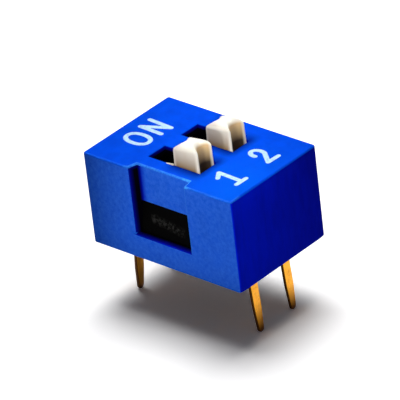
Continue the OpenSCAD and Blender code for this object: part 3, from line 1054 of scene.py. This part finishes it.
def make_slider(context, number):
    """One cream moulding: a knob on a carriage with a pocket underneath for its contact."""
    s = settings(context, "slider_sizes")
    c = settings(context, "contact_sizes")
    node, body = SLIDERS[number], SWITCHES[number]
    low, high = box_mm(node)
    cover_top = box_mm("cover")[1][2]
    middle = (low + high) / 2
    carriage_top = box_mm("base")[1][2]
    cut = s.chamfer
    profile = [[low[1], low[2]], [high[1], low[2]], [high[1], carriage_top - cut],
               [high[1] - cut, carriage_top], [low[1] + cut, carriage_top],
               [low[1], carriage_top - cut]]
    carriage = prism(profile, low[0], high[0], "x")
    contact_low, contact_high = box_mm(CONTACTS[number])
    room = 0.02  # beside the contact in its pocket
    over, inside = 0.3, 0.1  # the pocket's cut starts below, and the knob inside, the carriage
    half_pocket = c.foot_reach - c.foot_radius + c.strip / 2 + room
    pocket = prism(rectangle(contact_low[0] - room, contact_high[0] + room,
                             middle[1] - half_pocket, middle[1] + half_pocket),
                   low[2] - over, low[2] + s.pocket_depth)
    stem = knob(s, carriage_top - inside, high[2], middle[:2])
    obj = combined(f"slider_moulding_{number + 1}", carriage,
                   [("DIFFERENCE", pocket), ("UNION", stem)])

    def radius_at(middle):
        """Only the carriage's own edges are rounded here."""
        return np.where(middle[:, 2] < carriage_top + 0.01, s.edge_radius, 0.0)

    round_edges(obj, radius_at, segments=3)
    material = cream_slider_acetal(s, abs(middle[0]), middle[1], cover_top)
    return finished(obj, body, [material], node)


def make_shaving(context):
    """A sliver of the first slider, pared off by the slot and stuck along its left-hand edge."""
    s = settings(context, "slider_sizes")
    c = settings(context, "cover_sizes")
    low, high = box_mm(SLIDERS[0])
    top = box_mm("cover")[1][2]
    edge = (low[0] + high[0] - c.slot_width) / 2
    start = (low[1] + high[1] + s.knob_length) / 2 - 0.08
    # it tapers off away from the knob, and is sunk a little so that no gap shows under it
    long, tall, sunk = 0.6, 0.08, 0.02
    profile = [[start, top - sunk], [start + long, top - sunk], [start + long / 2, top + 0.03],
               [start, top + tall]]
    obj = working_object("edge_shaving", prism(profile, edge - 0.08, edge - 0.01, "x"))
    return finished(obj, HOUSING, [cream_shaving(s)])


# ---- terminals and contacts -----------------------------------------------------------------


def pin_path(s, floor_z, tip_z, pad_end):
    """Side view in (y, z) of a terminal on the numbered side, and how far each point is from
    the tip.

    Formula: below the board the pin leans out by tan(splay) for each unit of depth, and the
    knee is rounded by softening the depth to (z - sqrt(z^2 + k^2)) / 2. Then come a quarter
    bend and the pad.
    """
    row = -s.row_spacing / 2
    knee = 0.12  # k of the formula
    bend = s.bend_radius + s.strip / 2
    bend_z = floor_z - s.strip - s.bend_radius
    # the points stand closest together at the tip
    tip = np.geomspace(0.004, 0.3, 10) - 0.004
    z = np.concatenate([tip_z + tip, np.linspace(tip_z + 0.4, -0.3, 16),
                        np.linspace(-0.2, bend_z - 0.05, 14)])
    soft = (z - np.sqrt(z ** 2 + knee ** 2)) / 2
    upright = np.stack([row + math.tan(s.splay) * soft, z], -1)
    turn = arc([row + bend, bend_z], bend, 180, 90, 12)
    pad_z = floor_z - s.strip / 2
    pad_y = np.linspace(row + bend, pad_end, 18)[1:]
    pad = np.stack([pad_y, np.full(len(pad_y), pad_z)], -1)
    return np.concatenate([upright, turn, pad])


def outward(data):
    """The same mesh data with its faces turned outwards.

    Formula: the volume enclosed by a mesh is the sum over its faces of a corner's dot product
    with the cross product of the next two, and it is negative when the faces point inwards.
    """
    points, faces = data
    quads = np.array([f for f in faces if len(f) == 4])
    a, b, c, d = (points[quads[:, k]] for k in range(4))
    volume = (a * np.cross(b, c)).sum() + (a * np.cross(c, d)).sum()
    return data if volume > 0 else (points, [f[::-1] for f in faces])


def make_terminal(context, number, materials):
    """One stamped and bent strip: a pin with a bullet tip, a quarter bend and a contact pad."""
    s = settings(context, "terminal_sizes")
    node = f"terminal_{number}"
    low, high = box_mm(node)
    on_side = high[1] > s.row_spacing / 2
    centre = (low[0] + high[0]) / 2
    pad_end = -low[1] if on_side else high[1]
    path = pin_path(s, high[2], low[2], pad_end)
    rise = path[:, 1] - low[2]
    root = -s.row_spacing / 2 + s.strip / 2
    radius = s.tip_width / 2
    blend = np.clip((rise - radius) / (s.taper_length - radius), 0, 1)
    wide = radius + (s.pin_width / 2 - radius) * blend
    bullet = np.sqrt(np.maximum(radius ** 2 - np.clip(radius - rise, 0, radius) ** 2, 1e-4))
    wide = np.where(rise < radius, bullet, wide)
    widen = np.clip((path[:, 0] - root) / 0.3, 0, 1)
    wide = wide + (s.pad_width - s.pin_width) / 2 * widen * widen * (3 - 2 * widen)
    # the tip is sheared thinner over its last fifth of a millimetre
    thick = s.strip / 2 * (0.62 + 0.38 * np.clip(rise / 0.2, 0, 1) ** 0.5)
    points, faces = strip_along(path, wide, thick, s.edge_radius, centre)
    if on_side:
        points = (points - [2 * centre, 0, 0]) * [-1, -1, 1]  # half a turn about the upright axis
    obj = working_object(f"pin_{number}", outward((points, faces)))
    sheared = np.abs(mesh_values(obj.data.polygons, "normal", 3)[:, 0]) > 0.7
    obj.data.polygons.foreach_set("material_index", sheared.astype(int))
    return finished(obj, HOUSING, materials, node)


def make_contact(context, number):
    """One spring strip: a crown in the slider's pocket, two legs, and two feet with toes."""
    s = settings(context, "contact_sizes")
    node, body = CONTACTS[number], SWITCHES[number]
    low, high = box_mm(node)
    middle = (low + high) / 2
    crown_z = high[2] - s.strip / 2
    shank = s.foot_reach - s.foot_radius
    foot_z = low[2] + s.strip / 2 + s.foot_radius
    bend = s.crown_radius
    half = np.concatenate([
        np.stack([np.linspace(0, shank - bend, 5)[1:-1], np.full(3, crown_z)], -1),
        arc([shank - bend, crown_z - bend], bend, 90, 0, 8),
        np.stack([np.full(4, shank), np.linspace(crown_z - bend, foot_z, 6)[1:-1]], -1),
        arc([s.foot_reach, foot_z], s.foot_radius, 180, 360, 16),
        [[s.foot_reach + s.foot_radius, foot_z + s.toe_height]]])
    path = np.concatenate([(half * [-1, 1])[::-1], half]) + [middle[1], 0]
    wide = (high[0] - low[0]) / 2
    obj = working_object(f"bridge_{number + 1}",
                         outward(strip_along(path, wide, s.strip / 2, 0.02, middle[0])))
    return finished(obj, body, [bpy.data.materials["gold_plated_spring_strip"]], node)


# ---- legends --------------------------------------------------------------------------------


def line(start, end):
    """A straight path of four points."""
    return np.linspace(start, end, 4)


def oval(centre, half_x, half_y, steps=48):
    """Closed oval: x and y follow the cosine and sine of the angle raised to the power 0.9."""
    t = np.linspace(0, 2 * math.pi, steps, endpoint=False)
    round_off = 0.9
    x = half_x * np.sign(np.cos(t)) * np.abs(np.cos(t)) ** round_off
    y = half_y * np.sign(np.sin(t)) * np.abs(np.sin(t)) ** round_off
    return np.asarray(centre) + np.stack([x, y], -1)


def ring_legend(centre, half_x, half_y, width, low, high):
    """Mesh data of a closed oval stroke: outer and inner outlines at two heights, joined."""
    outer = oval(centre, half_x + width / 2, half_y + width / 2)
    inner = oval(centre, half_x - width / 2, half_y - width / 2)
    rings = [(outer, low), (outer, high), (inner, high), (inner, low)]
    return lofted([np.c_[flat, np.full(len(flat), z)] for flat, z in rings], closed=True)


def make_legend(context, name, strokes, ring=None):
    """One printed character: its strokes joined into a thin film of ink on the cover."""
    s = settings(context, "legend_sizes")
    top = box_mm("cover")[1][2]
    low, high = top - 0.02, top + s.ink
    parts = [prism(stroke_outline(path, s.stroke), low, high) for path in strokes]
    if ring:
        parts.insert(0, ring_legend(*ring, s.stroke, low, high))
    obj = combined(name, parts[0], [("UNION", part) for part in parts[1:]])
    material = bpy.data.materials["white_pad_print_ink"]
    return finished(obj, HOUSING, [material])


# ---- stage ----------------------------------------------------------------------------------


def stage_object(name, data, material):
    """A floor or backdrop in metres, marked as stage."""
    mesh = bpy.data.meshes.new(name)
    mesh.from_pydata((data[0] * MM).tolist(), [], data[1])
    mesh.materials.append(material)
    obj = bpy.data.objects.new(name, mesh)
    bpy.context.scene.collection.objects.link(obj)
    return obj


def seen_directly(tree):
    """1 for camera, glossy and see-through rays, and 0 for the rest, which gather soft light."""
    rays = add(tree, "ShaderNodeLightPath").outputs
    seen = rays["Is Camera Ray"]
    for other in ("Is Glossy Ray", "Is Transmission Ray"):
        seen = worked(tree, "MAXIMUM", seen, rays[other])
    return seen


def pale_floor(s):
    """Matt board: white to the eye and in reflections, and a darker grey for the light that it
    throws back, so that it lights the sides of the switch only a little."""
    material = bpy.data.materials.new("matt_white_board")
    material.use_nodes = True
    tree = material.node_tree
    tree.nodes.remove(tree.nodes["Principled BSDF"])
    tone = mixed(tree, seen_directly(tree), rgba(s.bounce_colour),
                 rgba(s.floor_colour * s.floor_gain))
    matt = add(tree, "ShaderNodeBsdfDiffuse", {"Color": tone})
    tree.links.new(matt.outputs[0], tree.nodes["Material Output"].inputs["Surface"])
    return material


def sky(s):
    """White to the eye and in reflections, dimmer and tinted in the light that it gives."""
    world = bpy.data.worlds.new("studio_sky")
    bpy.context.scene.world = world
    world.use_nodes = True
    tree = world.node_tree
    seen = seen_directly(tree)
    feed(tree, tree.nodes["Background"], {
        "Color": mixed(tree, seen, rgba(s.sky_colour), (1, 1, 1, 1)),
        "Strength": spread(tree, seen, 0, 1, s.sky_level, 1.0)})


def lamp(name, direction, distance, size, level, aim=(0, 0, 0), grid=180):
    """A softbox of the given width and height that looks at its aim, with a grid that holds its
    light within so many degrees.

    Formula: a lamp of power P at distance d lights a surface that faces it as a plain white
    surround would at level P / (pi d)^2.
    """
    data = bpy.data.lights.new(name, "AREA")
    data.shape = "RECTANGLE"
    data.size, data.size_y = size[0] * MM, size[1] * MM
    data.energy = level * (math.pi * distance * MM) ** 2
    data.spread = math.radians(grid)
    obj = bpy.data.objects.new(name, data)
    bpy.context.scene.collection.objects.link(obj)
    way = Vector(direction).normalized()
    obj.location = (Vector(aim) + way * distance) * MM
    obj.rotation_euler = way.to_track_quat("Z", "Y").to_euler()
    return obj


def camera(s):
    """The camera, turned by azimuth and elevation round its aim, then rolled about its axis."""
    back = Vector((-math.sin(s.azimuth) * math.cos(s.elevation),
                   -math.cos(s.azimuth) * math.cos(s.elevation), math.sin(s.elevation)))
    data = bpy.data.cameras.new("camera")
    data.lens = s.lens
    data.sensor_width = 36
    data.clip_start = 0.01
    data.clip_end = 10
    obj = bpy.data.objects.new("camera", data)
    bpy.context.scene.collection.objects.link(obj)
    obj.location = (Vector(s.aim) + back * s.distance) * MM
    level = back.to_track_quat("Z", "Y").to_matrix()
    obj.rotation_euler = (level @ Matrix.Rotation(-s.roll, 3, "Z")).to_euler()
    bpy.context.scene.camera = obj


# ---- operators ------------------------------------------------------------------------------


class SWITCH_OT_cover(bpy.types.Operator):
    """Builds the blue cover with its slots, recesses and latch windows"""

    bl_idname = "switch.cover"
    bl_label = "Cover"

    def execute(self, context):
        make_cover(context)
        return {"FINISHED"}


class SWITCH_OT_base(bpy.types.Operator):
    """Builds the black base with its latches, rail and blocks"""

    bl_idname = "switch.base"
    bl_label = "Base"

    def execute(self, context):
        make_base(context)
        return {"FINISHED"}


class SWITCH_OT_sliders(bpy.types.Operator):
    """Builds the two cream sliders with their grooved knobs"""

    bl_idname = "switch.sliders"
    bl_label = "Sliders"

    def execute(self, context):
        for number in range(len(SLIDERS)):
            make_slider(context, number)
        make_shaving(context)
        return {"FINISHED"}


class SWITCH_OT_terminals(bpy.types.Operator):
    """Builds the four gold pins with their contact pads"""

    bl_idname = "switch.terminals"
    bl_label = "Terminals"

    def execute(self, context):
        s = settings(context, "terminal_sizes")
        materials = [gold_plated_pin(s), sheared_strip_edge(s)]
        for number in (1, 2, 3, 4):
            make_terminal(context, number, materials)
        return {"FINISHED"}


class SWITCH_OT_contacts(bpy.types.Operator):
    """Builds the two bridging contacts that ride in the sliders"""

    bl_idname = "switch.contacts"
    bl_label = "Contacts"

    def execute(self, context):
        gold_plated_spring(settings(context, "terminal_sizes"))
        for number in range(len(CONTACTS)):
            make_contact(context, number)
        return {"FINISHED"}


class SWITCH_OT_legends(bpy.types.Operator):
    """Prints ON, 1 and 2 on the cover"""

    bl_idname = "switch.legends"
    bl_label = "Legends"

    def execute(self, context):
        pad_printed_ink(settings(context, "legend_sizes"))
        make_legend(context, "legend_O", [], ((-0.85, 3.35), 0.445, 0.725))
        make_legend(context, "legend_N", [
            line([0.13, 2.64], [0.18, 4.1]), line([0.18, 4.1], [0.87, 2.6]),
            line([0.87, 2.6], [0.96, 4.13])])
        make_legend(context, "legend_1", [
            line([-1.355, -2.52], [-1.41, -4.01]), line([-1.355, -2.52], [-1.81, -2.83]),
            line([-1.79, -4.05], [-1.08, -4.07])])
        hook = arc([1.12, -2.98], 1.0, 190, -40, 20)
        hook = (hook - [1.12, -2.98]) * [0.29, 0.42] + [1.12, -2.98]
        make_legend(context, "legend_2", [
            hook, line(hook[-1], [0.74, -4.0]), line([0.74, -4.0], [1.5, -4.03])])
        return {"FINISHED"}


class SWITCH_OT_stage(bpy.types.Operator):
    """Sets up the floor, the sky, the lamps and the camera"""

    bl_idname = "switch.stage"
    bl_label = "Studio"

    def execute(self, context):
        s = settings(context, "studio_settings")
        half = 400
        floor_z = CAD_BOX[0].z / MM
        flat = np.c_[rectangle(-half, half, -half, half), np.full(4, floor_z)]
        stage_object("floor", (flat, [[0, 1, 2, 3]]), pale_floor(s))
        sky(s)
        lamp("overhead_lamp", (0.175, 0.148, 1.0), 200, (122, 122), s.key_level)
        lamp("left_lamp", (-0.95, -0.32, 0.23), 40, (14, 8), s.side_level, (0, -2, 2.7), 9)
        lamp("knob_lamp", (-0.62, -0.64, 0.45), 45, (5, 3), s.knob_level, (0, -1.2, 6.0), 8)
        camera(s)
        context.scene.view_settings.view_transform = "Standard"
        return {"FINISHED"}


class SWITCH_PT_panel(bpy.types.Panel):
    """Lists the pieces of the switch in the sidebar"""

    bl_idname = "SWITCH_PT_panel"
    bl_label = "Slide DIP Switch"
    bl_space_type = "VIEW_3D"
    bl_region_type = "UI"
    bl_category = "Switch"

    def draw(self, context):
        for operator in OPERATORS:
            self.layout.operator(operator.bl_idname)


OPERATORS = (SWITCH_OT_cover, SWITCH_OT_base, SWITCH_OT_sliders, SWITCH_OT_terminals,
             SWITCH_OT_contacts, SWITCH_OT_legends, SWITCH_OT_stage)
CLASSES = (*GROUPS.values(), *OPERATORS, SWITCH_PT_panel)


def register():
    """Makes the classes known, and gives each scene its groups of values."""
    for cls in CLASSES:
        bpy.utils.register_class(cls)
    for name, group in GROUPS.items():
        setattr(bpy.types.Scene, name, PointerProperty(type=group))


def unregister():
    """Undoes what register did, in the opposite order."""
    for name in GROUPS:
        delattr(bpy.types.Scene, name)
    for cls in reversed(CLASSES):
        bpy.utils.unregister_class(cls)


def main():
    """Builds every piece and the stage."""
    register()
    bpy.ops.switch.cover()
    bpy.ops.switch.base()
    bpy.ops.switch.sliders()
    bpy.ops.switch.terminals()
    bpy.ops.switch.contacts()
    bpy.ops.switch.legends()
    bpy.ops.switch.stage()


if __name__ == "__main__":
    main()
